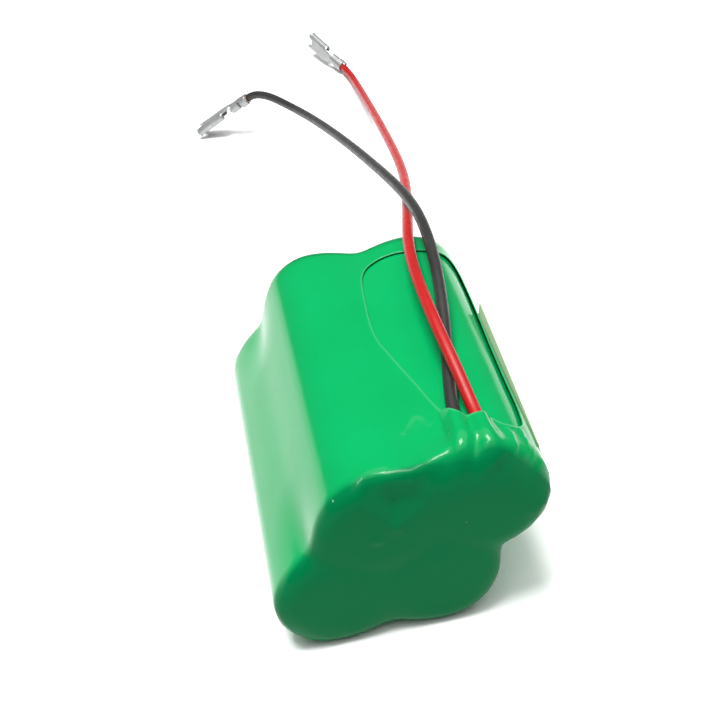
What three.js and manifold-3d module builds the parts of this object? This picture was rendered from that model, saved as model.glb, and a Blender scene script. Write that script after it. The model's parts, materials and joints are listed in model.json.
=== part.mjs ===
// Four-cell rechargeable battery pack. The cells lie nested two over two in an inner wrap and an
// outer shrink sleeve. The sleeve has an opening over the upper right cell, where two leads with
// push-on terminals come out.
// Millimetres, +Z up, cell axes along Y, origin under the middle of the pack on the ground.
import * as THREE from 'three';
import { mergeVertices } from 'three/addons/utils/BufferGeometryUtils.js';
import Module from 'manifold-3d';

const wasm = await Module();
wasm.setup();

// Driving dimensions.
const PITCH = 14.5; // distance between touching cell axes
const JACKET_R = 7.15; // outside of a cell's own sleeve
const JACKET_WALL = 0.2;
const CAN_R = 6.9;
const BUTTON_R = 2.75;
const CELL_HALF = 24.475; // half a cell's overall length
const CELL_SHIFT = 0.875; // the cells sit towards the back, the leads fold over the front
const SLEEVE_R = 7.8; // outside of the shrink sleeve around a cell axis
const SLEEVE_WALL = 0.35;
const SLEEVE_HALF = 26.5; // half the sleeve's length
const FRONT_ROUND = 3.0; // rounding between the sleeve's front end and its sides
const BACK_ROUND = 1.7;
const WRAP_R = 7.38; // outside of the inner wrap around a cell axis
const WRAP_WALL = 0.14;
const WRAP_HALF = 22.6;
const WRAP_SAG = 0.55;
const VALLEY_BLEND = 1.45; // how softly a film dips between two cells at its ends
const END_SAG = 0.5; // share of that dip at a film's ends
const MIDDLE_SAG = 0.12; // and along its middle, where it is stretched nearly flat
const LEAD_R = 0.85;
const STRIP_W = 5.0;
const STRIP_T = 0.2;

const ROW_RISE = PITCH * Math.sin(Math.PI / 3);
const LOW_Z = SLEEVE_R;
const HIGH_Z = SLEEVE_R + ROW_RISE;

// Cell axes in the X-Z plane. plusFront is true where the button points to -Y.
const CELLS = [
  { name: 'cell_1', x: -0.25 * PITCH, z: HIGH_Z, plusFront: false },
  { name: 'cell_2', x: -0.75 * PITCH, z: LOW_Z, plusFront: true },
  { name: 'cell_3', x: 0.25 * PITCH, z: LOW_Z, plusFront: false },
  { name: 'cell_4', x: 0.75 * PITCH, z: HIGH_Z, plusFront: true },
];
const [UPPER_LEFT, LOWER_LEFT, LOWER_RIGHT, UPPER_RIGHT] = CELLS;

const MATERIALS = {
  sleeve: [0x08b45c, 0.25, 0],
  wrap: [0x0fbf62, 0.3, 0],
  jacket: [0x0fbf62, 0.35, 0],
  steel: [0xb9bcc0, 0.35, 1],
  nickel: [0xc9c5bb, 0.3, 1],
  fibre: [0xe6e2d6, 0.8, 0],
  solder: [0xa9acb0, 0.3, 1],
  red_pvc: [0xd8343f, 0.45, 0],
  black_pvc: [0x2b2b2d, 0.45, 0],
  label: [0xdfe3d2, 0.7, 0],
};

const group = new THREE.Group();

function add(name, geometry, material, position = [0, 0, 0], turn = [0, 0, 0]) {
  const [color, roughness, metalness] = MATERIALS[material];
  const look = new THREE.MeshStandardMaterial({ color, roughness, metalness });
  const mesh = new THREE.Mesh(geometry, look);
  mesh.name = name;
  mesh.position.set(...position);
  mesh.rotation.set(...turn);
  group.add(mesh);
  return mesh;
}

// A closed geometry as a solid for joining and cutting.
function toSolid(geometry) {
  const bare = geometry.clone();
  bare.deleteAttribute('normal');
  bare.deleteAttribute('uv');
  const merged = mergeVertices(bare, 1e-4);
  return new wasm.Manifold(new wasm.Mesh({
    numProp: 3,
    vertProperties: new Float32Array(merged.attributes.position.array),
    triVerts: new Uint32Array(merged.index.array),
  }));
}

function toGeometry(solid) {
  const mesh = solid.getMesh();
  const geometry = new THREE.BufferGeometry();
  geometry.setAttribute('position', new THREE.BufferAttribute(mesh.vertProperties, 3));
  geometry.setIndex(new THREE.BufferAttribute(mesh.triVerts, 1));
  return geometry;
}

// A solid through a row of rings that all have the same number of points, with flat ends.
function loft(rings) {
  const n = rings[0].length;
  const points = rings.flat();
  const faces = [];
  for (let i = 0; i + 1 < rings.length; i += 1) {
    for (let j = 0; j < n; j += 1) {
      const a = i * n + j;
      const b = i * n + ((j + 1) % n);
      faces.push([a, b, a + n], [b, b + n, a + n]);
    }
  }
  for (const [ring, flip] of [[0, true], [rings.length - 1, false]]) {
    const middle = new THREE.Vector3();
    rings[ring].forEach((p) => middle.add(new THREE.Vector3(...p)));
    middle.divideScalar(n);
    points.push(middle.toArray());
    const m = points.length - 1;
    for (let j = 0; j < n; j += 1) {
      const a = ring * n + j;
      const b = ring * n + ((j + 1) % n);
      faces.push(flip ? [b, a, m] : [a, b, m]);
    }
  }
  const signed = faces.reduce((sum, [a, b, c]) => {
    const [p, q, r] = [a, b, c].map((k) => new THREE.Vector3(...points[k]));
    return sum + p.dot(q.cross(r));
  }, 0);
  const index = signed > 0 ? faces.flat() : faces.map(([a, b, c]) => [a, c, b]).flat();
  const geometry = new THREE.BufferGeometry();
  geometry.setAttribute('position', new THREE.Float32BufferAttribute(points.flat(), 3));
  geometry.setIndex(index);
  return geometry;
}

// An outline in the X-Z plane, extruded along Y from y0 to y1.
function prismY(outline, y0, y1, holes = []) {
  const toVector = ([x, z]) => new THREE.Vector2(x, z);
  const shape = new THREE.Shape(outline.map(toVector));
  holes.forEach((hole) => shape.holes.push(new THREE.Path(hole.map(toVector))));
  const geometry = new THREE.ExtrudeGeometry(shape, { depth: y1 - y0, bevelEnabled: false });
  geometry.rotateX(Math.PI / 2);
  geometry.translate(0, y1, 0);
  return geometry;
}

// How far a point is outside the taut outline around four equal circles on the cell axes.
function tautLevel(x, z, radius) {
  const corners = [LOWER_LEFT, LOWER_RIGHT, UPPER_RIGHT, UPPER_LEFT];
  let inside = -Infinity;
  let outside = Infinity;
  corners.forEach((from, i) => {
    const to = corners[(i + 1) % corners.length];
    const dx = (to.x - from.x) / PITCH;
    const dz = (to.z - from.z) / PITCH;
    const along = (x - from.x) * dx + (z - from.z) * dz;
    const across = (x - from.x) * dz - (z - from.z) * dx;
    const over = along - Math.min(Math.max(along, 0), PITCH);
    inside = Math.max(inside, across);
    outside = Math.min(outside, Math.hypot(over, across));
  });
  return (inside < 0 ? inside : outside) - radius;
}

// How far a point is outside four equal circles on the cell axes, blended softly together.
function lobedLevel(x, z, radius) {
  const gaps = CELLS.map((cell) => Math.hypot(x - cell.x, z - cell.z) - radius);
  const sum = gaps.reduce((total, gap) => total + Math.exp(-gap / VALLEY_BLEND), 0);
  return -VALLEY_BLEND * Math.log(sum);
}

const MIDDLE_Z = (LOW_Z + HIGH_Z) / 2;

// Distance from the middle of the bundle to where a level is zero, in one direction.
function reach(level, radius, angle) {
  let near = 1;
  let far = 3 * PITCH;
  for (let step = 0; step < 30; step += 1) {
    const mid = (near + far) / 2;
    const value = level(mid * Math.cos(angle), MIDDLE_Z + mid * Math.sin(angle), radius);
    near = value < 0 ? mid : near;
    far = value < 0 ? far : mid;
  }
  return near;
}

// Outline of a film around the bundle. A sag of 0 is taut, and 1 dips fully between the cells.
function bundleOutline(radius, sag, inset = 0, count = 88) {
  const outline = [];
  for (let i = 0; i < count; i += 1) {
    const angle = (2 * Math.PI * i) / count;
    const taut = reach(tautLevel, radius, angle);
    const lobed = reach(lobedLevel, radius, angle);
    const length = taut + (lobed - taut) * sag - inset;
    outline.push([length * Math.cos(angle), MIDDLE_Z + length * Math.sin(angle)]);
  }
  return outline;
}

// A film's outline as a body along Y, dipping more towards its ends, with the ends rounded.
function bundleBody(radius, half, frontRound, backRound) {
  const steps = 4;
  const ring = (y, sag, inset) => bundleOutline(radius, sag, inset).map(([x, z]) => [x, y, z]);
  const front = [];
  const back = [];
  for (let i = 0; i <= steps; i += 1) {
    const turn = (Math.PI / 2) * (i / steps);
    const along = 1 - Math.sin(turn);
    const inset = 1 - Math.cos(turn);
    front.unshift(ring(-half + frontRound * along, END_SAG, frontRound * inset));
    back.push(ring(half - backRound * along, END_SAG, backRound * inset));
  }
  const middle = [ring(-half * 0.6, MIDDLE_SAG, 0), ring(half * 0.6, MIDDLE_SAG, 0)];
  return loft([...front, ...middle, ...back]);
}

// The inner wrap: a tube of film around the four cells, open at both ends.
function innerWrap() {
  const outer = bundleOutline(WRAP_R, WRAP_SAG);
  const inner = bundleOutline(WRAP_R - WRAP_WALL, WRAP_SAG);
  return prismY(outer, CELL_SHIFT - WRAP_HALF, CELL_SHIFT + WRAP_HALF, [inner]);
}

// The hump in the sleeve over the two leads, from the front end to the edge of the opening.
function leadHump(shrink, yEnd) {
  const stations = [
    [-26.5 + shrink, 26.0],
    [-26.1 + shrink, 27.9],
    [-25.2 + shrink, 29.4],
    [-23.6, 30.15],
    [-21.0, 30.25],
    [yEnd, 30.25],
  ];
  const rings = stations.map(([y, top]) => {
    const z = top - shrink;
    return [
      [14.2 - shrink, 22.5],
      [14.2 - shrink, 24.0],
      [13.4 - shrink, z - 1.3],
      [12.4 - shrink, z - 0.3],
      [10.9, z],
      [9.2, z - 0.1],
      [7.6, z - 0.05],
      [6.5 + shrink, z - 0.4],
      [5.3 + shrink, z - 1.7],
      [3.4 + shrink, 23.6],
      [3.4 + shrink, 22.5],
    ].map(([x, height]) => [x, y, Math.min(height, z)]);
  });
  return loft(rings);
}

// Plan outline (X, Y) of the sleeve's opening over the upper right cell.
const OPENING = [
  [7.7, -17.2], [9.2, -18.3], [10.8, -18.9], [12.4, -18.6], [13.9, -19.4], [15.4, -19.6],
  [16.5, -18.6], [17.1, -15.5], [17.2, -8.0], [17.4, 0.0], [17.8, 8.0], [18.0, 15.0],
  [17.7, 19.0], [16.6, 20.7], [14.5, 20.6], [11.5, 20.6], [8.5, 20.9], [6.2, 20.7],
  [4.4, 19.7], [3.2, 17.6], [2.5, 14.0], [2.1, 9.0], [1.9, 5.0], [2.1, 1.5],
  [3.0, -2.0], [4.0, -5.5], [5.2, -9.5], [6.3, -13.5],
];

// A plan outline cut straight down between two heights.
function prismZ(outline, z0, z1) {
  const shape = new THREE.Shape(outline.map(([x, y]) => new THREE.Vector2(x, y)));
  const geometry = new THREE.ExtrudeGeometry(shape, { depth: z1 - z0, bevelEnabled: false });
  geometry.translate(0, 0, z0);
  return geometry;
}

function shrinkSleeve() {
  const wall = SLEEVE_WALL;
  const outer = toSolid(bundleBody(SLEEVE_R, SLEEVE_HALF, FRONT_ROUND, BACK_ROUND))
    .add(toSolid(leadHump(0, -16.0)));
  const inner = toSolid(bundleBody(SLEEVE_R - wall, SLEEVE_HALF - wall, FRONT_ROUND - wall,
    BACK_ROUND - wall)).add(toSolid(leadHump(wall, -14.0)));
  return toGeometry(outer.subtract(inner).subtract(toSolid(prismZ(OPENING, 20.6, 40))));
}

// A turned solid about Y from radius-height pairs.
function turned(profile, segments = 32) {
  return new THREE.LatheGeometry(profile.map(([r, y]) => new THREE.Vector2(r, y)), segments);
}

// Each cell piece is drawn with the button at +Y and turned to face front where needed.
function cellCan() {
  return turned([
    [0, -CELL_HALF + 0.25], [CAN_R - 0.6, -CELL_HALF + 0.25], [CAN_R, -CELL_HALF + 0.85],
    [CAN_R, CELL_HALF - 4.0], [CAN_R - 0.45, CELL_HALF - 3.5], [CAN_R - 0.45, CELL_HALF - 3.0],
    [CAN_R, CELL_HALF - 2.5], [CAN_R, CELL_HALF - 1.7], [CAN_R - 0.35, CELL_HALF - 1.35],
    [0, CELL_HALF - 1.35],
  ]);
}

function cellButton() {
  return turned([
    [0, CELL_HALF - 1.3], [BUTTON_R, CELL_HALF - 1.3], [BUTTON_R, CELL_HALF - 0.25],
    [BUTTON_R - 0.25, CELL_HALF], [0, CELL_HALF],
  ], 24);
}

function cellGasket() {
  return turned([
    [BUTTON_R + 0.25, CELL_HALF - 1.3], [6.5, CELL_HALF - 1.3], [6.5, CELL_HALF - 1.0],
    [BUTTON_R + 0.25, CELL_HALF - 1.0], [BUTTON_R + 0.25, CELL_HALF - 1.3],
  ], 24);
}

function cellJacket() {
  const inside = JACKET_R - JACKET_WALL;
  const low = -CELL_HALF;
  const high = CELL_HALF - 0.7;
  return turned([
    [inside, low + 0.2], [5.9, low + 0.2], [5.9, low], [JACKET_R - 0.3, low],
    [JACKET_R, low + 0.3], [JACKET_R, high - 0.3], [JACKET_R - 0.3, high], [5.9, high],
    [5.9, high - 0.2], [inside, high - 0.2], [inside, low + 0.2],
  ]);
}

// A strip with round ends from one point to another, with a weld slit near each end.
function stripOutline(from, to, width, past) {
  const along = new THREE.Vector2(to[0] - from[0], to[1] - from[1]);
  const length = along.length();
  const angle = along.angle();
  const place = (u, v) => [
    from[0] + u * Math.cos(angle) - v * Math.sin(angle),
    from[1] + u * Math.sin(angle) + v * Math.cos(angle),
  ];
  const outline = [];
  const radius = 1.2;
  const corners = [
    [length + past - radius, -width / 2 + radius, -90],
    [length + past - radius, width / 2 - radius, 0],
    [-past + radius, width / 2 - radius, 90],
    [-past + radius, -width / 2 + radius, 180],
  ];
  for (const [u, v, start] of corners) {
    for (let i = 0; i <= 4; i += 1) {
      const turn = ((start + i * 22.5) * Math.PI) / 180;
      outline.push(place(u + radius * Math.cos(turn), v + radius * Math.sin(turn)));
    }
  }
  const slits = [[-past + 1.1, 0.3], [length + past - 3.1, 0.35]].map(([u, half]) => [
    place(u, -half), place(u, half), place(u + 2.0, half), place(u + 2.0, -half),
  ]);
  return { outline, slits };
}

function strip(from, to, y0, past = 2.4) {
  const { outline, slits } = stripOutline(from, to, STRIP_W, past);
  return prismY(outline, y0, y0 + STRIP_T, slits);
}

// A sheet that covers the contacts at the cell ends.
function endSheet(y0, thickness) {
  return prismY(bundleOutline(SLEEVE_R - SLEEVE_WALL, END_SAG, 7.5), y0, y0 + thickness);
}

// A lead: an eight-sided tube along a smooth curve through the points of its route.
function lead(route, steps) {
  const curve = new THREE.CatmullRomCurve3(route.map((p) => new THREE.Vector3(...p)), false,
    'centripetal');
  const section = new THREE.Shape();
  for (let i = 0; i < 8; i += 1) {
    const turn = ((i + 0.5) * Math.PI) / 4;
    const point = [LEAD_R * Math.cos(turn), LEAD_R * Math.sin(turn)];
    if (i === 0) section.moveTo(...point);
    else section.lineTo(...point);
  }
  section.closePath();
  return new THREE.ExtrudeGeometry(section, { steps, extrudePath: curve, bevelEnabled: false });
}

const RED_ROUTE = [
  [11.4, -24.8, 23.0], [11.3, -24.9, 25.5], [11.2, -24.3, 27.6], [11.1, -22.8, 28.6],
  [11.0, -20.5, 28.8], [10.8, -17.0, 28.9], [10.3, -12.5, 30.8], [9.5, -6.0, 32.7],
  [9.3, 2.0, 33.0], [9.6, 11.0, 32.0], [10.6, 19.0, 30.8], [12.0, 26.0, 29.3],
  [13.2, 32.0, 27.6], [15.5, 44.0, 24.2], [17.5, 57.0, 20.5], [19.0, 79.0, 14.5],
  [20.2, 103.0, 8.3], [20.8, 122.0, 3.8], [20.8, 131.0, 2.2], [20.5, 136.5, 1.6],
  [19.7, 140.2, 1.7],
];
const BLACK_ROUTE = [
  [3.6, -24.8, 22.0], [5.2, -24.8, 24.0], [6.9, -24.4, 26.2], [7.6, -23.3, 28.0],
  [8.0, -21.5, 28.8], [8.2, -16.5, 28.8], [9.0, -12.0, 29.0], [10.6, -4.0, 29.6],
  [12.0, 4.0, 30.9], [13.1, 12.0, 31.5], [13.7, 20.0, 31.4], [13.9, 27.0, 30.7],
  [13.5, 36.0, 29.0], [12.5, 46.0, 26.6], [11.0, 60.0, 23.0], [9.0, 76.0, 18.8],
  [6.5, 91.0, 15.0], [4.0, 101.5, 12.6], [2.0, 107.5, 11.5], [0.0, 112.0, 11.1],
  [-2.0, 115.0, 10.8], [-4.0, 117.2, 10.1], [-5.2, 117.9, 9.2],
];

const TERMINAL_LENGTH = 14.5;
const TERMINAL_WIDTH = 4.0;
const TERMINAL_SHEET = 0.35;
const BARREL_R = 1.15;
const BARREL_Z = 1.3;

// A push-on receptacle along +X, its barrel on the X axis: a crimped barrel, a neck and a body
// with its sides rolled under.
function receptacle() {
  const rollR = 0.8;
  const bodyStart = 7.2;
  const plateZ = 0.35 + TERMINAL_SHEET / 2;
  const barrel = new THREE.CylinderGeometry(BARREL_R, BARREL_R, 4.6, 16);
  barrel.rotateZ(Math.PI / 2);
  barrel.translate(2.6, 0, BARREL_Z);
  const waist = new THREE.BoxGeometry(3.4, 2.2, TERMINAL_SHEET);
  waist.translate(6.1, 0, plateZ);
  const bodyLength = TERMINAL_LENGTH - bodyStart;
  const plate = new THREE.BoxGeometry(bodyLength, TERMINAL_WIDTH - rollR, TERMINAL_SHEET);
  plate.translate(bodyStart + bodyLength / 2, 0, plateZ);
  let solid = toSolid(barrel).add(toSolid(waist)).add(toSolid(plate));
  for (const side of [-1, 1]) {
    const arc = (radius) => Array.from({ length: 9 }, (_, i) => {
      const turn = ((-90 + i * 30) * Math.PI) / 180;
      return new THREE.Vector2(side * radius * Math.cos(turn), radius * Math.sin(turn));
    });
    const shape = new THREE.Shape([...arc(rollR), ...arc(rollR - TERMINAL_SHEET).reverse()]);
    const depth = bodyLength - 0.3;
    const rolled = new THREE.ExtrudeGeometry(shape, { depth, bevelEnabled: false });
    rolled.rotateY(Math.PI / 2);
    rolled.rotateX(Math.PI / 2);
    rolled.translate(bodyStart + 0.3, side * (TERMINAL_WIDTH / 2 - rollR), 0.35 + rollR);
    solid = solid.add(toSolid(rolled));
  }
  const mouth = new THREE.BoxGeometry(1.8, 1.2, 2.0);
  mouth.translate(TERMINAL_LENGTH, 0, 0.6);
  const geometry = toGeometry(solid.subtract(toSolid(mouth)));
  geometry.rotateX(Math.PI);
  geometry.translate(0, 0, BARREL_Z);
  return geometry;
}

// A small adhesive label on the right flank, its upper edge lifting off the sleeve.
function sideLabel() {
  const centre = [UPPER_RIGHT.x, UPPER_RIGHT.z];
  const inner = SLEEVE_R + 0.12;
  const outer = inner + 0.2;
  const low = [];
  const high = [];
  for (let angle = -30; angle <= 18; angle += 6) {
    const turn = (angle * Math.PI) / 180;
    low.push([centre[0] + inner * Math.cos(turn), centre[1] + inner * Math.sin(turn)]);
    high.push([centre[0] + outer * Math.cos(turn), centre[1] + outer * Math.sin(turn)]);
  }
  const turn = (18 * Math.PI) / 180;
  const lift = 3.2;
  const ends = [low, high].map((points) => {
    const [x, z] = points[points.length - 1];
    return [x - lift * Math.sin(turn), z + lift * Math.cos(turn)];
  });
  const outline = [...low, ends[0], ends[1], ...high.reverse()];
  return prismY(outline, -20.0, 9.0);
}

add('outer_sleeve', shrinkSleeve(), 'sleeve');
add('inner_wrap', innerWrap(), 'wrap');
add('side_label', sideLabel(), 'label');

for (const cell of CELLS) {
  const turn = cell.plusFront ? [0, 0, Math.PI] : [0, 0, 0];
  const place = [cell.x, CELL_SHIFT, cell.z];
  add(`${cell.name}_can`, cellCan(), 'steel', place, turn);
  add(`${cell.name}_button`, cellButton(), 'nickel', place, turn);
  add(`${cell.name}_gasket`, cellGasket(), 'fibre', place, turn);
  add(`${cell.name}_jacket`, cellJacket(), 'jacket', place, turn);
}

const FRONT_STRIP_Y = CELL_SHIFT - CELL_HALF - 0.1 - STRIP_T;
const BACK_STRIP_Y = CELL_SHIFT + CELL_HALF + 0.1;
const axisOf = (cell) => [cell.x, cell.z];
add('link_back_left', strip(axisOf(UPPER_LEFT), axisOf(LOWER_LEFT), BACK_STRIP_Y), 'nickel');
add('link_front_low', strip(axisOf(LOWER_LEFT), axisOf(LOWER_RIGHT), FRONT_STRIP_Y), 'nickel');
add('link_back_right', strip(axisOf(LOWER_RIGHT), axisOf(UPPER_RIGHT), BACK_STRIP_Y), 'nickel');
add('tab_negative', strip(axisOf(UPPER_LEFT), [1.4, 21.0], FRONT_STRIP_Y), 'nickel');
add('tab_positive', strip([9.4, 19.2], [11.2, 20.6], FRONT_STRIP_Y), 'nickel');

const SOLDER = [[0, -1.4], [1.2, -1.2], [1.5, -0.5], [1.4, 0], [0, 0]];
const SOLDER_Y = FRONT_STRIP_Y - 0.05;
add('solder_negative', turned(SOLDER, 16), 'solder', [2.6, SOLDER_Y, 20.3]);
add('solder_positive', turned(SOLDER, 16), 'solder', [11.4, SOLDER_Y, 20.9]);

add('insulator_front', endSheet(-SLEEVE_HALF + SLEEVE_WALL + 0.1, 0.25), 'fibre');
add('insulator_back', endSheet(SLEEVE_HALF - SLEEVE_WALL - 0.35, 0.25), 'fibre');

add('red_lead', lead(RED_ROUTE, 60), 'red_pvc');
add('black_lead', lead(BLACK_ROUTE, 60), 'black_pvc');

// Each terminal starts 0.3 mm beyond its lead's end and goes on in the lead's direction.
function placeTerminal(name, route, [x, y, z], roll) {
  const geometry = receptacle();
  geometry.rotateX((roll * Math.PI) / 180);
  geometry.rotateY(Math.atan2(-z, Math.hypot(x, y)));
  add(name, geometry, 'nickel', route[route.length - 1], [0, 0, Math.atan2(y, x)]);
}

// The red one lies on its edge, and the black one touches the ground with its mouth.
placeTerminal('red_terminal', RED_ROUTE, [-0.36, 0.92, 0.16], -80);
placeTerminal('black_terminal', BLACK_ROUTE, [-0.79, 0.27, -0.55], 0);

export default group;
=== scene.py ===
"""Looks of the four-cell battery pack: film, wrap, label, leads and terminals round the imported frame."""

import math

import bpy
import numpy as np
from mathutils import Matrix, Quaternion, Vector
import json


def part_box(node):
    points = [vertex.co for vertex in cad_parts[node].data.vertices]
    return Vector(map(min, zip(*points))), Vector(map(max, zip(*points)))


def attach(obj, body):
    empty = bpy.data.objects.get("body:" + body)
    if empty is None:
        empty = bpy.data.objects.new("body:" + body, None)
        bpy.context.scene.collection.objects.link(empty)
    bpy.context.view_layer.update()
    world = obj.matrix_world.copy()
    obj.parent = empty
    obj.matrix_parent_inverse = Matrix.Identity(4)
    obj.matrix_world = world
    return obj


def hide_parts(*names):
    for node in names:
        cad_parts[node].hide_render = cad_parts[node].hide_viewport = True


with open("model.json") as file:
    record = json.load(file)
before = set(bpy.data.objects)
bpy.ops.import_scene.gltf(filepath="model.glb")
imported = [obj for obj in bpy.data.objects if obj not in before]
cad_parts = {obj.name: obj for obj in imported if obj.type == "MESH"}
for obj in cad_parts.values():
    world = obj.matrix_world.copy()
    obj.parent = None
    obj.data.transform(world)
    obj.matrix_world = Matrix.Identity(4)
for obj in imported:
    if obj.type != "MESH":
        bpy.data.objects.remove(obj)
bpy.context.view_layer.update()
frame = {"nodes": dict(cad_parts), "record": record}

MM = 0.001

# Driving dimensions, from the frame.
CELLS = {}
for number in (1, 2, 3, 4):
    low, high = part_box(f"cell_{number}_jacket")
    CELLS[number] = ((low.x + high.x) / 2, (low.z + high.z) / 2)
UPPER_LEFT, LOWER_LEFT, LOWER_RIGHT, UPPER_RIGHT = (CELLS[n] for n in (1, 2, 3, 4))
FILM_R = LOWER_LEFT[1]
FILM_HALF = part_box("outer_sleeve")[1].y
MIDDLE_Z = (LOWER_LEFT[1] + UPPER_LEFT[1]) / 2
FILM_GAP = 0.32 * MM
WRAP_R = FILM_R - FILM_GAP
WRAP_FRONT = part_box("inner_wrap")[0].y
WRAP_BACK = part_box("inner_wrap")[1].y
LEAD_R = 0.85 * MM

# The leads' routes, from the tabs under the sleeve's front lip to the terminals.
RED_ROUTE = [(x * MM, y * MM, z * MM) for x, y, z in (
    (11.4, -24.8, 23.0), (11.3, -24.9, 25.5), (11.2, -24.3, 27.6), (11.1, -22.8, 28.6),
    (11.0, -20.5, 28.8), (10.8, -17.0, 28.9), (10.3, -12.5, 30.8), (9.5, -6.0, 32.7),
    (9.3, 2.0, 33.0), (9.6, 11.0, 32.0), (10.6, 19.0, 30.8), (12.0, 26.0, 29.3),
    (13.2, 32.0, 27.6), (15.5, 44.0, 24.2), (17.5, 57.0, 20.5), (19.0, 79.0, 14.5),
    (20.2, 103.0, 8.3), (20.8, 122.0, 3.8), (20.8, 131.0, 2.2), (20.5, 136.5, 1.6),
    (19.7, 140.2, 1.7),
)]
BLACK_ROUTE = [(x * MM, y * MM, z * MM) for x, y, z in (
    (3.6, -24.8, 22.0), (5.2, -24.8, 24.0), (6.9, -24.4, 26.2), (7.6, -23.3, 28.0),
    (8.0, -21.5, 28.8), (8.2, -16.5, 28.8), (9.0, -12.0, 29.0), (10.6, -4.0, 29.6),
    (12.0, 4.0, 30.9), (13.1, 12.0, 31.5), (13.7, 20.0, 31.4), (13.9, 27.0, 30.7),
    (13.5, 36.0, 29.0), (12.5, 46.0, 26.6), (11.0, 60.0, 23.0), (9.0, 76.0, 18.8),
    (6.5, 91.0, 15.0), (4.0, 101.5, 12.6), (2.0, 107.5, 11.5), (0.0, 112.0, 11.1),
    (-2.0, 115.0, 10.8), (-4.0, 117.2, 10.1), (-5.2, 117.9, 9.2),
)]
RED_HEADING = (-0.36, 0.92, 0.16)
BLACK_HEADING = (-0.79, 0.27, -0.55)
RED_ROLL = math.radians(-80)
BLACK_ROLL = 0.0

# Plan outline (X, Y) of the sleeve's opening over the upper right cell.
OPENING = [
    (0.0077, -0.0172), (0.0092, -0.0183), (0.0108, -0.0189), (0.0124, -0.0186),
    (0.0139, -0.0194), (0.0154, -0.0196), (0.0165, -0.0186), (0.0171, -0.0155),
    (0.0172, -0.0080), (0.0174, 0.0000), (0.0178, 0.0080), (0.0180, 0.0150),
    (0.0177, 0.0190), (0.0166, 0.0207), (0.0145, 0.0206), (0.0115, 0.0206),
    (0.0085, 0.0209), (0.0062, 0.0207), (0.0044, 0.0197), (0.0032, 0.0176),
    (0.0025, 0.0140), (0.0021, 0.0090), (0.0019, 0.0050), (0.0021, 0.0015),
    (0.0030, -0.0020), (0.0040, -0.0055), (0.0052, -0.0095), (0.0063, -0.0135),
]


# Small helpers.

def smooth_step(value, start, end):
    t = np.clip((value - start) / (end - start), 0, 1)
    return t * t * (3 - 2 * t)


def smooth_route(points, per_span=10, closed=False):
    """A centripetal Catmull-Rom curve through the points."""
    p = np.array(points, float)
    if closed:
        p = np.vstack([p[-1], p, p[:2]])
    else:
        p = np.vstack([2 * p[0] - p[1], p, 2 * p[-1] - p[-2]])
    curve = []
    for a, b, c, d in zip(p, p[1:], p[2:], p[3:]):
        gaps = [math.sqrt(np.linalg.norm(v - u)) for u, v in ((a, b), (b, c), (c, d))]
        start = ((b - a) / gaps[0] - (c - a) / (gaps[0] + gaps[1]) + (c - b) / gaps[1]) * gaps[1]
        end = ((c - b) / gaps[1] - (d - b) / (gaps[1] + gaps[2]) + (d - c) / gaps[2]) * gaps[1]
        for t in np.arange(per_span) / per_span:
            square, cube = t * t, t * t * t
            curve.append(
                (2 * cube - 3 * square + 1) * b + (cube - 2 * square + t) * start
                + (3 * square - 2 * cube) * c + (cube - square) * end
            )
    if not closed:
        curve.append(p[-2])
    return np.array(curve)


def relaxed(line, rounds=60):
    """The same line with small kinks eased out, its ends kept."""
    line = np.array(line)
    for _ in range(rounds):
        line[1:-1] += 0.5 * ((line[:-2] + line[2:]) / 2 - line[1:-1])
    return line


def mesh_object(name, points, faces):
    mesh = bpy.data.meshes.new(name)
    mesh.from_pydata([tuple(p) for p in points], [], [tuple(f) for f in faces])
    mesh.validate()
    piece = bpy.data.objects.new(name, mesh)
    bpy.context.scene.collection.objects.link(piece)
    mesh.shade_smooth()
    return piece


def finish_piece(piece, material, slot, *replaced):
    piece.data.materials.append(material)
    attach(piece, "root")
    if replaced:
        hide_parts(*replaced)
    return piece


# Materials.

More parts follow.
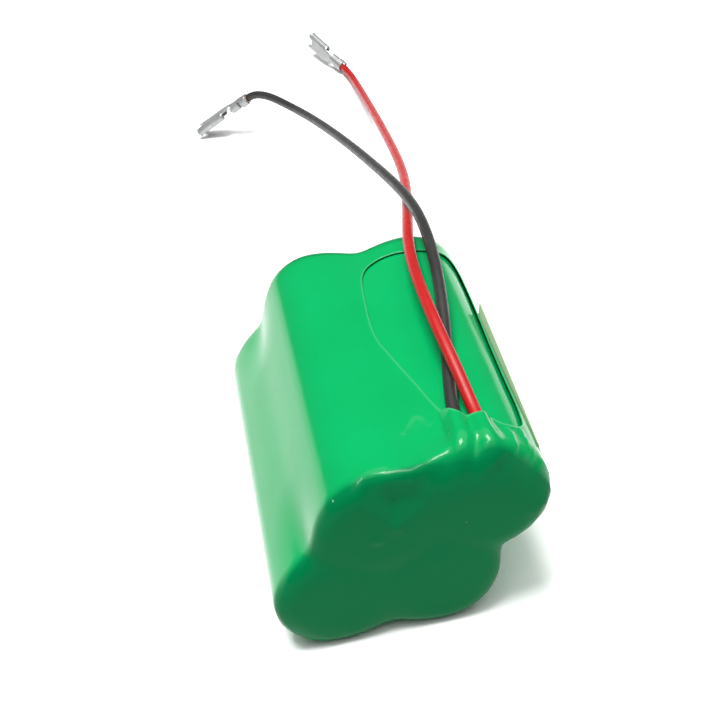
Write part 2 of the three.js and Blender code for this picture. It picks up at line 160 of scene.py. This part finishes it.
class Nodes:
    """A node material under construction, with short calls for the nodes used here."""

    def __init__(self, name):
        self.material = bpy.data.materials.new(name)
        self.material.use_nodes = True
        self.tree = self.material.node_tree
        self.shader = self.tree.nodes["Principled BSDF"]
        self.place = self.add("ShaderNodeTexCoord").outputs["Object"]

    def add(self, kind, **values):
        node = self.tree.nodes.new(kind)
        for key, value in values.items():
            setattr(node, key, value)
        return node

    def link(self, source, target):
        self.tree.links.new(source, target)

    def noise(self, scale, detail=3.0, roughness=0.5, stretch=None):
        node = self.add("ShaderNodeTexNoise")
        node.inputs["Scale"].default_value = scale
        node.inputs["Detail"].default_value = detail
        node.inputs["Roughness"].default_value = roughness
        place = self.place
        if stretch:
            mapping = self.add("ShaderNodeMapping")
            mapping.inputs["Scale"].default_value = stretch
            self.link(place, mapping.inputs["Vector"])
            place = mapping.outputs["Vector"]
        self.link(place, node.inputs["Vector"])
        return node.outputs["Fac"]

    def ramp(self, source, low, high, start=0.3, end=0.7):
        node = self.add("ShaderNodeValToRGB")
        node.color_ramp.elements[0].position = start
        node.color_ramp.elements[1].position = end
        node.color_ramp.elements[0].color = (*low, 1)
        node.color_ramp.elements[1].color = (*high, 1)
        self.link(source, node.inputs["Fac"])
        return node.outputs["Color"]

    def spread(self, source, low, high, start=0.0, end=1.0):
        node = self.add("ShaderNodeMapRange")
        node.inputs["From Min"].default_value = start
        node.inputs["From Max"].default_value = end
        node.inputs["To Min"].default_value = low
        node.inputs["To Max"].default_value = high
        self.link(source, node.inputs["Value"])
        return node.outputs["Result"]

    def mix(self, amount, a, b):
        node = self.add("ShaderNodeMix", data_type="RGBA")
        self.link(amount, node.inputs["Factor"])
        for source, target in ((a, node.inputs["A"]), (b, node.inputs["B"])):
            if isinstance(source, tuple):
                target.default_value = (*source, 1)
            else:
                self.link(source, target)
        return node.outputs["Result"]

    def bumps(self, *layers):
        """Each layer is a height source and its depth in metres."""
        normal = None
        for source, depth in layers:
            node = self.add("ShaderNodeBump")
            node.inputs["Strength"].default_value = 1.0
            node.inputs["Distance"].default_value = depth
            self.link(source, node.inputs["Height"])
            if normal is not None:
                self.link(normal, node.inputs["Normal"])
            normal = node.outputs["Normal"]
        self.link(normal, self.shader.inputs["Normal"])

    def colour(self, source):
        self.link(source, self.shader.inputs["Base Color"])

    def roughness(self, source):
        self.link(source, self.shader.inputs["Roughness"])


def film_material(name, light, dark, rim_colour, gloss=(0.11, 0.19)):
    """Thin stretched plastic film: gloss, soft waviness, dust and a paler band along the opening's rim."""
    nodes = Nodes(name)
    broad = nodes.noise(70, 3, 0.55)
    fine = nodes.noise(2600, 4, 0.6)
    waves = nodes.noise(260, 2, 0.45, stretch=(1, 0.5, 1))
    base = nodes.ramp(broad, dark, light)
    rim_pale = nodes.add("ShaderNodeAttribute", attribute_name="rim_pale").outputs["Fac"]
    painted_end_shade = nodes.add("ShaderNodeAttribute", attribute_name="painted_end_shade").outputs["Fac"]
    # Painted shade: the sleeve's ends are mixed towards a dark green by the painted_end_shade mask.
    end_shaded = nodes.mix(painted_end_shade, base, (0.0005, 0.116, 0.036))
    dust = nodes.spread(nodes.noise(1300, 1, 0.3), 0, 0.5, 0.83, 0.85)
    dusty = nodes.mix(dust, end_shaded, (0.3, 0.45, 0.35))
    # Paler colour along the opening's rim, set by the rim_pale mask.
    nodes.colour(nodes.mix(rim_pale, dusty, rim_colour))
    nodes.roughness(nodes.spread(nodes.noise(420, 4, 0.6), gloss[0], gloss[1], 0.3, 0.7))
    nodes.bumps((waves, 0.03 * MM), (fine, 0.003 * MM))
    nodes.shader.inputs["IOR"].default_value = 1.3
    nodes.link(nodes.spread(painted_end_shade, 0.42, 0.07), nodes.shader.inputs["Specular IOR Level"])
    return nodes.material


def wire_material(name, light, dark, gloss=(0.32, 0.5)):
    nodes = Nodes(name)
    nodes.colour(nodes.ramp(nodes.noise(160, 3, 0.6), dark, light))
    nodes.roughness(nodes.spread(nodes.noise(900, 3, 0.6), gloss[0], gloss[1], 0.3, 0.7))
    nodes.bumps((nodes.noise(420, 2, 0.5), 0.012 * MM), (nodes.noise(5200, 3, 0.6), 0.004 * MM))
    nodes.shader.inputs["Specular IOR Level"].default_value = 0.35
    return nodes.material


def metal_material(name, light, dark, gloss=(0.28, 0.48), grain=(1, 1, 1)):
    nodes = Nodes(name)
    nodes.shader.inputs["Metallic"].default_value = 1.0
    nodes.colour(nodes.ramp(nodes.noise(300, 4, 0.6), dark, light))
    nodes.roughness(nodes.spread(nodes.noise(1400, 4, 0.65), gloss[0], gloss[1], 0.3, 0.7))
    scratches = nodes.noise(1800, 5, 0.7, stretch=grain)
    nodes.bumps((nodes.noise(700, 2, 0.5), 0.02 * MM), (scratches, 0.008 * MM))
    return nodes.material


def paper_material(name, light, dark):
    nodes = Nodes(name)
    fibres = nodes.noise(1600, 6, 0.75)
    nodes.colour(nodes.ramp(nodes.noise(350, 4, 0.6), dark, light))
    nodes.roughness(nodes.spread(fibres, 0.55, 0.8, 0.3, 0.7))
    nodes.bumps((fibres, 0.03 * MM))
    return nodes.material


GREEN_FILM = film_material("green_film", (0.001, 0.255, 0.072), (0.001, 0.235, 0.062), (0.1, 0.42, 0.2))
GREEN_WRAP = film_material("green_wrap", (0.001, 0.265, 0.075), (0.001, 0.245, 0.066), (0.06, 0.4, 0.18))
RED_PVC = wire_material("red_pvc", (0.34, 0.006, 0.006), (0.30, 0.004, 0.005))
BLACK_PVC = wire_material("black_pvc", (0.024, 0.024, 0.023), (0.018, 0.018, 0.017))
TINNED = metal_material("tinned_brass", (0.44, 0.45, 0.45), (0.35, 0.36, 0.36), (0.5, 0.65), (0.2, 1, 1))
COPPER = metal_material("copper_strands", (0.8, 0.42, 0.26), (0.62, 0.3, 0.18), (0.3, 0.5))
LABEL_PAPER = paper_material("label_paper", (0.66, 0.72, 0.54), (0.58, 0.65, 0.48))

FRAME_MATERIALS = {
    "jacket": film_material("cell_jacket", (0.002, 0.3, 0.09), (0.001, 0.25, 0.07), (0.1, 0.4, 0.18)),
    "steel": metal_material("nickel_plated_steel", (0.66, 0.66, 0.65), (0.52, 0.52, 0.52)),
    "nickel": metal_material("nickel_strip", (0.7, 0.68, 0.63), (0.58, 0.56, 0.52)),
    "fibre": paper_material("insulating_fibre", (0.82, 0.8, 0.72), (0.7, 0.68, 0.6)),
    "solder": metal_material("solder", (0.66, 0.67, 0.68), (0.5, 0.5, 0.52), (0.15, 0.35)),
}


# Camera.

CAMERA_PLACE = Vector((-0.01468, -0.12557, 0.12965))
CAMERA_LOOK = Vector((0.0853, 0.7690, -0.6336))
CAMERA_ROLL = math.radians(-7.15)
CAMERA_LENS = 59.55


def make_camera():
    data = bpy.data.cameras.new("camera")
    data.lens = CAMERA_LENS
    data.sensor_width = 36
    data.clip_start = 0.01
    data.clip_end = 10
    camera = bpy.data.objects.new("camera", data)
    bpy.context.scene.collection.objects.link(camera)
    camera.location = CAMERA_PLACE
    camera.rotation_mode = "QUATERNION"
    turn = CAMERA_LOOK.to_track_quat("-Z", "Y")
    camera.rotation_quaternion = turn @ Quaternion((0, 0, 1), CAMERA_ROLL)
    bpy.context.scene.camera = camera


make_camera()


# Leads.

def tube(name, centreline, radius, sides=20):
    """A round tube along a centreline, with closed ends."""
    line = np.array(centreline)
    along = np.gradient(line, axis=0)
    along /= np.linalg.norm(along, axis=1)[:, None]
    side = np.cross(along[0], (0, 0, 1.0))
    if np.linalg.norm(side) < 0.1:
        side = np.cross(along[0], (1.0, 0, 0))
    points = []
    for place, direction in zip(line, along):
        side = side - direction * np.dot(side, direction)
        side = side / np.linalg.norm(side)
        other = np.cross(direction, side)
        for k in range(sides):
            turn = 2 * math.pi * k / sides
            points.append(place + radius * (math.cos(turn) * side + math.sin(turn) * other))
    faces = []
    for i in range(len(line) - 1):
        for k in range(sides):
            a, b = i * sides + k, i * sides + (k + 1) % sides
            faces.append((a, b, b + sides, a + sides))
    faces.append(tuple(reversed(range(sides))))
    last = (len(line) - 1) * sides
    faces.append(tuple(range(last, last + sides)))
    return mesh_object(name, points, faces)


# Terminals.

# Along a terminal: distance from its start, half the flat width, curl radius, curl angle.
TERMINAL_SECTIONS = [
    (0.3, 0.10, 1.05, 165), (1.9, 0.10, 1.05, 165), (2.1, 0.30, 0.98, 40), (2.5, 0.30, 0.95, 40),
    (2.7, 0.10, 0.92, 172), (4.7, 0.10, 0.92, 172), (5.0, 0.60, 0.70, 60), (5.6, 0.85, 0.50, 35),
    (6.6, 0.95, 0.45, 35), (7.1, 1.05, 0.55, 70), (7.4, 1.11, 0.70, 235), (13.9, 1.11, 0.70, 235),
    (14.5, 1.18, 0.76, 215),
]
SHEET = 0.35 * MM
# In millimetres: the flat plate over the lead's axis, and the round notch in the mouth.
PLATE_HEIGHT = 1.02
MOUTH_DEPTH = 1.5
MOUTH_HALF = 0.9

STRAND_REACH = 4.9 * MM
STRAND_RING = 0.46 * MM
STRAND_R = 0.23 * MM


def terminal(name, place, heading, roll):
    """A push-on receptacle stamped from sheet: two crimps, a neck and a body rolled under."""
    stations, across = 110, 48
    table = np.array(TERMINAL_SECTIONS)
    length = table[-1, 0]
    points = []
    for i in range(stations):
        s = table[0, 0] + (length - table[0, 0]) * i / (stations - 1)
        half, curl, angle = (np.interp(s, table[:, 0], table[:, k]) for k in (1, 2, 3))
        arc = curl * math.radians(angle)
        for j in range(across + 1):
            u = (2 * j / across - 1) * (half + arc)
            side = math.copysign(1, u)
            flat = min(abs(u), half)
            turn = max(abs(u) - half, 0) / curl
            x = s - max(0, s - length + MOUTH_DEPTH) * max(0, 1 - (abs(u) / MOUTH_HALF) ** 4)
            y = side * (flat + curl * math.sin(turn))
            z = PLATE_HEIGHT - curl * (1 - math.cos(turn))
            points.append((x * MM, y * MM, z * MM))
    row = across + 1
    faces = [
        (i * row + j, (i + 1) * row + j, (i + 1) * row + j + 1, i * row + j + 1)
        for i in range(stations - 1) for j in range(across)
    ]
    piece = mesh_object(name, points, faces)
    solid = piece.modifiers.new("sheet", "SOLIDIFY")
    solid.thickness = SHEET
    solid.offset = 0
    x, y, z = heading
    piece.location = place
    piece.rotation_euler = (roll, math.atan2(-z, math.hypot(x, y)), math.atan2(y, x))
    return piece


def strands(name, place, heading):
    """The bare conductor: seven copper strands in the second crimp, just showing past it."""
    direction = np.array(heading) / np.linalg.norm(heading)
    side = np.array([-direction[1], direction[0], 0])
    side /= np.linalg.norm(side)
    other = np.cross(direction, side)
    start = np.array(place) + direction * 0.35 * MM
    points, faces = [], []
    for k in range(7):
        ring = 0.0 if k == 6 else STRAND_RING
        spot = math.pi * k / 3
        for step, along in enumerate((0, STRAND_REACH * (0.96 + 0.02 * (k % 3)))):
            for m in range(8):
                turn = 2 * math.pi * m / 8
                offset = (ring * math.cos(spot) + STRAND_R * math.cos(turn)) * side
                height = ring * math.sin(spot) + STRAND_R * math.sin(turn)
                points.append(start + direction * along + offset + other * height)
        base = k * 16
        for m in range(8):
            n = (m + 1) % 8
            faces.append((base + m, base + n, base + 8 + n, base + 8 + m))
        faces.append(tuple(base + 8 + m for m in range(8)))
        faces.append(tuple(base + 7 - m for m in range(8)))
    return mesh_object(name, points, faces)


def make_lead(colour, route, heading, roll, material):
    centreline = relaxed(smooth_route(route))
    lead = finish_piece(tube(f"{colour}_wire", centreline, LEAD_R), material, f"{colour}_pvc",
                        f"{colour}_lead")
    end = route[-1]
    metal = finish_piece(terminal(f"{colour}_receptacle", end, heading, roll), TINNED, "nickel",
                         f"{colour}_terminal")
    core = finish_piece(strands(f"{colour}_strands", end, heading), COPPER, "nickel")


make_lead("red", RED_ROUTE, RED_HEADING, RED_ROLL, RED_PVC)
make_lead("black", BLACK_ROUTE, BLACK_HEADING, BLACK_ROLL, BLACK_PVC)


# Film around the bundle.

END_ROUND = 2.6 * MM
VALLEY_BLEND = 1.3 * MM
MIDDLE_SAG = 0.1
END_SAG = 0.5
END_DIP = 0.2 * MM
END_BLEND = 0.25 * MM
RIGHT_SAG = 0.35
CHAMFER_SLOPE = 0.42
CHAMFER_BLEND = 0.2 * MM
# Lower edge (X, Z) of the slope between the top and the front end.
CHAMFER_EDGE = [
    (-0.0190, 0.0200), (-0.0120, 0.0290), (-0.0070, 0.0268), (-0.0044, 0.0232),
    (-0.0018, 0.0205), (0.0006, 0.0218), (0.0035, 0.0241), (0.0070, 0.0239),
    (0.0098, 0.0245), (0.0130, 0.0232), (0.0160, 0.0195), (0.0190, 0.0160),
]


def taut_distance(x, z):
    """Distance outside the rhombus through the cell axes, below zero inside it."""
    corners = [LOWER_LEFT, LOWER_RIGHT, UPPER_RIGHT, UPPER_LEFT]
    inside = np.full(np.shape(x), -1.0)
    outside = np.full(np.shape(x), 1.0)
    for (x0, z0), (x1, z1) in zip(corners, corners[1:] + corners[:1]):
        length = math.hypot(x1 - x0, z1 - z0)
        dx, dz = (x1 - x0) / length, (z1 - z0) / length
        along = (x - x0) * dx + (z - z0) * dz
        across = (x - x0) * dz - (z - z0) * dx
        over = along - np.clip(along, 0, length)
        inside = np.maximum(inside, across)
        outside = np.minimum(outside, np.hypot(over, across))
    return np.where(inside < 0, inside, outside)


def rounded(across, along, turn):
    """Level of a body whose side and end meet in a round edge."""
    outside = np.hypot(np.maximum(across + turn, 0), np.maximum(along + turn, 0))
    return outside + np.minimum(np.maximum(across + turn, along + turn), 0) - turn


def soft_low(levels, blend):
    lowest = np.minimum.reduce(levels)
    total = sum(np.exp(-(level - lowest) / blend) for level in levels)
    return lowest - blend * np.log(total)


def soft_high(a, b, blend):
    return -soft_low([-a, -b], blend)


def line_distance(points, line):
    """Distance of each point from a polyline."""
    best = np.full(len(points), 1.0)
    for a, b in zip(line, line[1:]):
        span = b - a
        t = np.clip((points - a) @ span / (span @ span), 0, 1)
        best = np.minimum(best, np.linalg.norm(points - a - t[:, None] * span, axis=1))
    return best


def bundle_level(x, y, z, radius, half, end=0.0):
    depth = np.abs(y) - half - end
    taut = rounded(taut_distance(x, z) - radius, depth, END_ROUND)
    axis_gaps = [np.hypot(x - cx, z - cz) for cx, cz in CELLS.values()]
    lobed = soft_low([rounded(gap - radius, depth, END_ROUND) for gap in axis_gaps], VALLEY_BLEND)
    end_sag = END_SAG + RIGHT_SAG * smooth_step(x, 9 * MM, 13 * MM)
    sag = MIDDLE_SAG + (end_sag - MIDDLE_SAG) * smooth_step(np.abs(y), half * 0.45, half * 0.95)
    nearest = np.minimum.reduce(axis_gaps)
    dip = END_DIP * smooth_step(nearest, 4.2 * MM, 8 * MM)
    return soft_high(taut + (lobed - taut) * sag, depth + dip, END_BLEND)


HUMP_LINES = [smooth_route(route[2:7], 3) for route in (RED_ROUTE, BLACK_ROUTE)]
HUMP_R = LEAD_R + 0.32 * MM
HUMP_BLEND = 0.4 * MM
# Crest of the tent over the leads' bends: X, Y and Z along it.
CREST = [
    (-0.0040, -0.0243, 0.0276), (-0.0018, -0.0247, 0.0282), (0.0010, -0.0250, 0.0284),
    (0.0044, -0.0242, 0.0289), (0.0070, -0.0235, 0.0294), (0.0086, -0.0229, 0.0299),
    (0.0098, -0.0229, 0.0296), (0.0110, -0.0233, 0.0298), (0.0124, -0.0236, 0.0292),
    (0.0140, -0.0238, 0.0278),
]
CREST_FRONT = 4.0
CREST_BACK = 0.30
CREST_FOOT = 25.2 * MM
CREST_BLEND = 0.28 * MM
FOOT_BLEND = 0.6 * MM
TENT_LEFT = -4.5 * MM
TENT_RIGHT = 14.3 * MM

# Small folds and wrinkles of the sleeve: their lines, height and width in millimetres.
FOLDS = [
    ([(14, -20.5, 27.5), (14.5, -22, 27.5)], 0.20, 0.35),
    ([(12.5, -24.5, 28), (13.5, -24, 28), (14, -22.5, 27.5)], 0.22, 0.40),
    ([(16, -20, 26), (16, -21, 26), (17, -22.5, 25.5)], 0.22, 0.35),
    ([(1.5, -17.5, 28), (2.5, -16, 28), (3.5, -15, 28), (4.5, -15.5, 28), (5, -17, 28)], 0.07, 0.35),
    ([(-4, 8, 28), (-4, 6, 28), (-3, 4.5, 28)], 0.06, 0.30),
    ([(9.5, -24.5, 27.5), (9.5, -23.5, 28.5), (9.5, -22, 29)], -0.25, 0.45),
]
# Knobs where the shrunk film bunches up: place, height and width in millimetres.
KNOBS = [
    ((17.6, -25.0, 23.6), 0.70, 1.1),
    ((15.6, -25.4, 18.4), 0.95, 0.7),
    ((-1.8, -26.4, 20.4), 0.22, 0.9),
    ((-4.4, -26.5, 18.9), 0.22, 0.8),
    ((-11.5, -25.4, 26.2), 0.25, 1.6),
]


def tent_level(x, y, z):
    """The film pulled up from the brow to the leads: a crest, steep in front and easy behind."""
    crest = np.array(CREST)
    ahead = y - np.interp(x, crest[:, 0], crest[:, 1])
    over = z - np.interp(x, crest[:, 0], crest[:, 2])
    front = (over - CREST_FRONT * ahead) / math.hypot(1, CREST_FRONT)
    back = (over + CREST_BACK * ahead) / math.hypot(1, CREST_BACK)
    tent = soft_high(front, back, CREST_BLEND)
    tent = soft_high(tent, CREST_FOOT - z, FOOT_BLEND)
    return np.maximum(tent, np.maximum(TENT_LEFT - x, x - TENT_RIGHT))


def sleeve_level(points):
    x, y, z = points.T
    level = bundle_level(x, y, z, FILM_R, FILM_HALF)
    edge = np.array(CHAMFER_EDGE)
    lower = np.interp(x, edge[:, 0], edge[:, 1])
    slope = (-y - FILM_HALF + CHAMFER_SLOPE * (z - lower)) / math.hypot(1, CHAMFER_SLOPE)
    level = soft_high(level, slope, CHAMFER_BLEND)
    near = (y < -0.010) & (z > 0.022)
    humps = [line_distance(points[near], line) - HUMP_R for line in HUMP_LINES]
    humps.append(tent_level(*points[near].T))
    level[near] = soft_low([level[near], *humps], HUMP_BLEND)
    return level


def fold_height(points):
    """How far the folds and knobs stand out from the smooth sleeve at each point."""
    height = np.zeros(len(points))
    for line, rise, width in FOLDS:
        gap = line_distance(points, smooth_route(np.array(line) * MM, 5))
        height += rise * MM * np.exp(-((gap / (width * MM)) ** 2))
    for place, rise, width in KNOBS:
        gap = np.linalg.norm(points - np.array(place) * MM, axis=1)
        height += rise * MM * np.exp(-((gap / (width * MM)) ** 2))
    return height


def wrap_level(points):
    x, y, z = points.T
    return bundle_level(x, y, z, WRAP_R, FILM_HALF, end=10 * MM)


AROUND = 560
ROW_STEP = 0.24 * MM
HALVINGS = 22


def film_grid(level, y_low, y_high, closed):
    """Rays from inside the bundle out to where the level is zero: rows of points along Y."""
    turn = 2 * math.pi * np.arange(AROUND) / AROUND
    radial = np.stack([np.cos(turn), np.zeros(AROUND), np.sin(turn)], 1)
    middle = np.array([0, 0, MIDDLE_Z])
    core = 4.0 * MM
    inset = 5.0 * MM if closed else 0.0
    rows = []
    count = int(round((y_high - y_low - 2 * inset) / ROW_STEP))
    for y in np.linspace(y_low + inset, y_high - inset, count):
        rows.append((middle + radial * core + (0, y, 0), radial))
    if closed:
        corner, cap = 22, 46
        for sign, y in ((-1, y_low + inset), (1, y_high - inset)):
            extra = []
            for i in range(1, corner + 1):
                angle = math.pi / 2 * i / corner
                direction = radial * math.cos(angle) + np.array([0, sign * math.sin(angle), 0])
                extra.append((middle + radial * core + (0, y, 0), direction))
            for i in range(1, cap):
                share = 1 - i / cap
                start = middle + radial * core * share + (0, y, 0)
                extra.append((start, np.tile([0.0, sign, 0.0], (AROUND, 1))))
            rows = extra[::-1] + rows if sign < 0 else rows + extra
    starts = np.concatenate([r[0] for r in rows])
    directions = np.concatenate([r[1] for r in rows])
    near = np.zeros(len(starts))
    far = np.full(len(starts), 24 * MM)
    for _ in range(HALVINGS):
        mid = (near + far) / 2
        inside = level(starts + directions * mid[:, None]) < 0
        near = np.where(inside, mid, near)
        far = np.where(inside, far, mid)
    return starts + directions * near[:, None], len(rows)


def grid_faces(rows, closed, points):
    faces = []
    index = np.arange(rows * AROUND).reshape(rows, AROUND)
    ahead = np.roll(index, -1, axis=1)
    quads = np.stack([index[:-1], ahead[:-1], ahead[1:], index[1:]], -1).reshape(-1, 4)
    faces.extend(map(tuple, quads[:, ::-1]))
    if closed:
        for row, flip in ((0, False), (rows - 1, True)):
            points = np.vstack([points, points[index[row]].mean(axis=0)])
            tip = len(points) - 1
            for a, b in zip(index[row], ahead[row]):
                faces.append((tip, b, a) if flip else (tip, a, b))
    return points, faces


def outline_distance(x, y, outline):
    """Distance from a closed plan outline, below zero inside it."""
    best = np.full(len(x), 1.0)
    inside = np.zeros(len(x), bool)
    for (x0, y0), (x1, y1) in zip(outline, np.roll(outline, -1, axis=0)):
        span = np.array([x1 - x0, y1 - y0])
        t = np.clip(((x - x0) * span[0] + (y - y0) * span[1]) / (span @ span), 0, 1)
        best = np.minimum(best, np.hypot(x - x0 - t * span[0], y - y0 - t * span[1]))
        crosses = (y0 > y) != (y1 > y)
        inside ^= crosses & (x < x0 + (y - y0) / (y1 - y0 + 1e-12) * (x1 - x0))
    return np.where(inside, -best, best)


def cut_away(points, faces, signed):
    """Keeps the part where signed is above zero, with a clean edge where it is zero."""
    extra, on_edge, kept = [], {}, []
    for face in faces:
        values = [signed[i] for i in face]
        if min(values) > 0:
            kept.append(face)
            continue
        if max(values) <= 0:
            continue
        ring = []
        for k, a in enumerate(face):
            b = face[(k + 1) % len(face)]
            if signed[a] > 0:
                ring.append(a)
            if (signed[a] > 0) != (signed[b] > 0):
                key = (min(a, b), max(a, b))
                if key not in on_edge:
                    share = signed[a] / (signed[a] - signed[b])
                    extra.append(points[a] + (points[b] - points[a]) * share)
                    on_edge[key] = len(points) + len(extra) - 1
                ring.append(on_edge[key])
        kept.append(tuple(ring))
    used = sorted({i for face in kept for i in face})
    renumber = {old: new for new, old in enumerate(used)}
    points = np.vstack([points, extra])[used]
    return points, [tuple(renumber[i] for i in face) for face in kept]


def outward(points):
    """Rough outward direction from the bundle's middle line."""
    away = points - np.array([0, 0, MIDDLE_Z])
    away[:, 1] = 0
    return away / np.maximum(np.linalg.norm(away, axis=1), 1e-6)[:, None]


def bulge(points):
    """Outward direction for folds: away from the bundle, and endways near its ends."""
    endways = smooth_step(np.abs(points[:, 1]), 23.5 * MM, 26.3 * MM) * np.sign(points[:, 1])
    away = outward(points) * (1.15 - np.abs(endways))[:, None]
    away[:, 1] = endways
    return away / np.linalg.norm(away, axis=1)[:, None]


def set_layer(piece, name, values):
    layer = piece.data.attributes.new(name, "FLOAT", "POINT")
    layer.data.foreach_set("value", np.asarray(values, np.float32))


SLEEVE_FILM = 0.16 * MM
WRAP_FILM = 0.12 * MM
# The opening is cut only in film above this height.
CUT_HEIGHT = 20.6 * MM
LIP_LIFT = 0.08 * MM
LIP_LIFT_RIGHT = 0.10 * MM
LIP_WIDTH = 0.9 * MM
RIM_PALE_AMOUNT = 0.35
RIM_WIDTH = 0.16 * MM


def make_sleeve():
    outline = smooth_route(OPENING, 6, closed=True)
    points, rows = film_grid(sleeve_level, -FILM_HALF, FILM_HALF, True)
    points, faces = grid_faces(rows, True, points)
    upper = points[:, 2] > CUT_HEIGHT
    signed = np.full(len(points), 1.0)
    signed[upper] = outline_distance(points[upper, 0], points[upper, 1], outline)
    near_right = smooth_step(points[:, 0], 13 * MM, 16.5 * MM)
    lift = np.exp(-np.maximum(signed, 0) / LIP_WIDTH) * (LIP_LIFT + LIP_LIFT_RIGHT * near_right)
    points = points + outward(points) * lift[:, None]
    points = points + bulge(points) * fold_height(points)[:, None]
    points, faces = cut_away(points, faces, signed)
    piece = mesh_object("shrink_sleeve", points, faces)
    upper = points[:, 2] > CUT_HEIGHT
    rim = np.full(len(points), 1.0)
    rim[upper] = np.abs(outline_distance(points[upper, 0], points[upper, 1], outline))
    set_layer(piece, "rim_pale", RIM_PALE_AMOUNT * np.exp(-((rim / RIM_WIDTH) ** 2)))
    # The sleeve's ends get painted shade: a darker colour and a lower specular level there.
    set_layer(piece, "painted_end_shade", smooth_step(np.abs(points[:, 1]), 23.5 * MM, 24.9 * MM))
    solid = piece.modifiers.new("film", "SOLIDIFY")
    solid.thickness = SLEEVE_FILM
    solid.offset = -1
    finish_piece(piece, GREEN_FILM, "sleeve", "outer_sleeve")


def make_wrap():
    points, rows = film_grid(wrap_level, WRAP_FRONT, WRAP_BACK, False)
    points, faces = grid_faces(rows, False, points)
    piece = mesh_object("cell_wrap", points, faces)
    solid = piece.modifiers.new("film", "SOLIDIFY")
    solid.thickness = WRAP_FILM
    solid.offset = -1
    finish_piece(piece, GREEN_WRAP, "wrap", "inner_wrap")


make_sleeve()
make_wrap()


# Label on the right flank.

LABEL_LEAN = math.radians(6)
LABEL_GAP = 0.1 * MM
LABEL_SHEET = 0.14 * MM
# Angles on the upper right cell: the lower edge, the whole label, and where it leaves the film.
LABEL_LOW = math.radians(-30)
LABEL_SPAN = math.radians(48)
LABEL_HELD = math.radians(18)


def make_label():
    """A blank paper label whose upper edge has come off the sleeve, more towards the back."""
    along, across = 60, 40
    centre = UPPER_RIGHT
    radius = FILM_R + LABEL_GAP
    low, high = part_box("side_label")
    points = []
    for i in range(along + 1):
        share = i / along
        y = low.y + (high.y - low.y) * share
        lift = (0.6 + 1.9 * share) * MM
        for j in range(across + 1):
            u = j / across
            reach = LABEL_LOW * radius + u * (LABEL_SPAN * radius + lift)
            angle = min(reach / radius, LABEL_HELD)
            past = max(0.0, reach - LABEL_HELD * radius)
            x = centre[0] + radius * math.cos(angle) + past * math.sin(LABEL_LEAN)
            z = centre[1] + radius * math.sin(angle) + past * math.cos(LABEL_LEAN)
            points.append((x, y, z))
    row = across + 1
    faces = [
        (i * row + j, (i + 1) * row + j, (i + 1) * row + j + 1, i * row + j + 1)
        for i in range(along) for j in range(across)
    ]
    piece = mesh_object("side_label_paper", points, faces)
    solid = piece.modifiers.new("paper", "SOLIDIFY")
    solid.thickness = LABEL_SHEET
    solid.offset = 0
    finish_piece(piece, LABEL_PAPER, "label", "side_label")


make_label()


# The frame's own pieces keep their shape and get their materials.
SLOT_OF = {row["node"]: row["material_slot"] for row in frame["record"]["subparts"]}
for node_name, node in frame["nodes"].items():
    slot_name = SLOT_OF[node_name]
    if slot_name in FRAME_MATERIALS:
        node.data.materials.clear()
        node.data.materials.append(FRAME_MATERIALS[slot_name])


# Floor and light.

FLOOR_HALF = 4
WORLD_STRENGTH = 0.16


def make_floor():
    h = FLOOR_HALF
    floor = mesh_object("floor", [(-h, -h, 0), (h, -h, 0), (h, h, 0), (-h, h, 0)], [(0, 1, 2, 3)])
    nodes = Nodes("floor_white")
    nodes.colour(nodes.ramp(nodes.noise(6, 2, 0.5), (0.9, 0.9, 0.9), (0.92, 0.92, 0.92)))
    nodes.shader.inputs["Roughness"].default_value = 0.9
    floor.data.materials.append(nodes.material)


def area_light(name, place, target, width, depth, power):
    data = bpy.data.lights.new(name, "AREA")
    data.shape = "RECTANGLE"
    data.size = width
    data.size_y = depth
    data.energy = power
    light = bpy.data.objects.new(name, data)
    bpy.context.scene.collection.objects.link(light)
    light.location = place
    light.rotation_mode = "QUATERNION"
    light.rotation_quaternion = (Vector(target) - Vector(place)).to_track_quat("-Z", "Y")


def make_light():
    world = bpy.data.worlds.new("studio")
    world.use_nodes = True
    world.node_tree.nodes["Background"].inputs["Color"].default_value = (1, 1, 1, 1)
    world.node_tree.nodes["Background"].inputs["Strength"].default_value = WORLD_STRENGTH
    bpy.context.scene.world = world
    area_light("softbox", (-0.10, -0.03, 0.90), (0, 0, 0.01), 0.34, 0.34, 12)
    area_light("ceiling", (0.05, 0.0, 1.0), (0.05, 0, 0), 1.4, 1.4, 12)


make_floor()
make_light()
bpy.context.scene.view_settings.view_transform = "Standard"
bpy.context.scene.view_settings.look = "None"
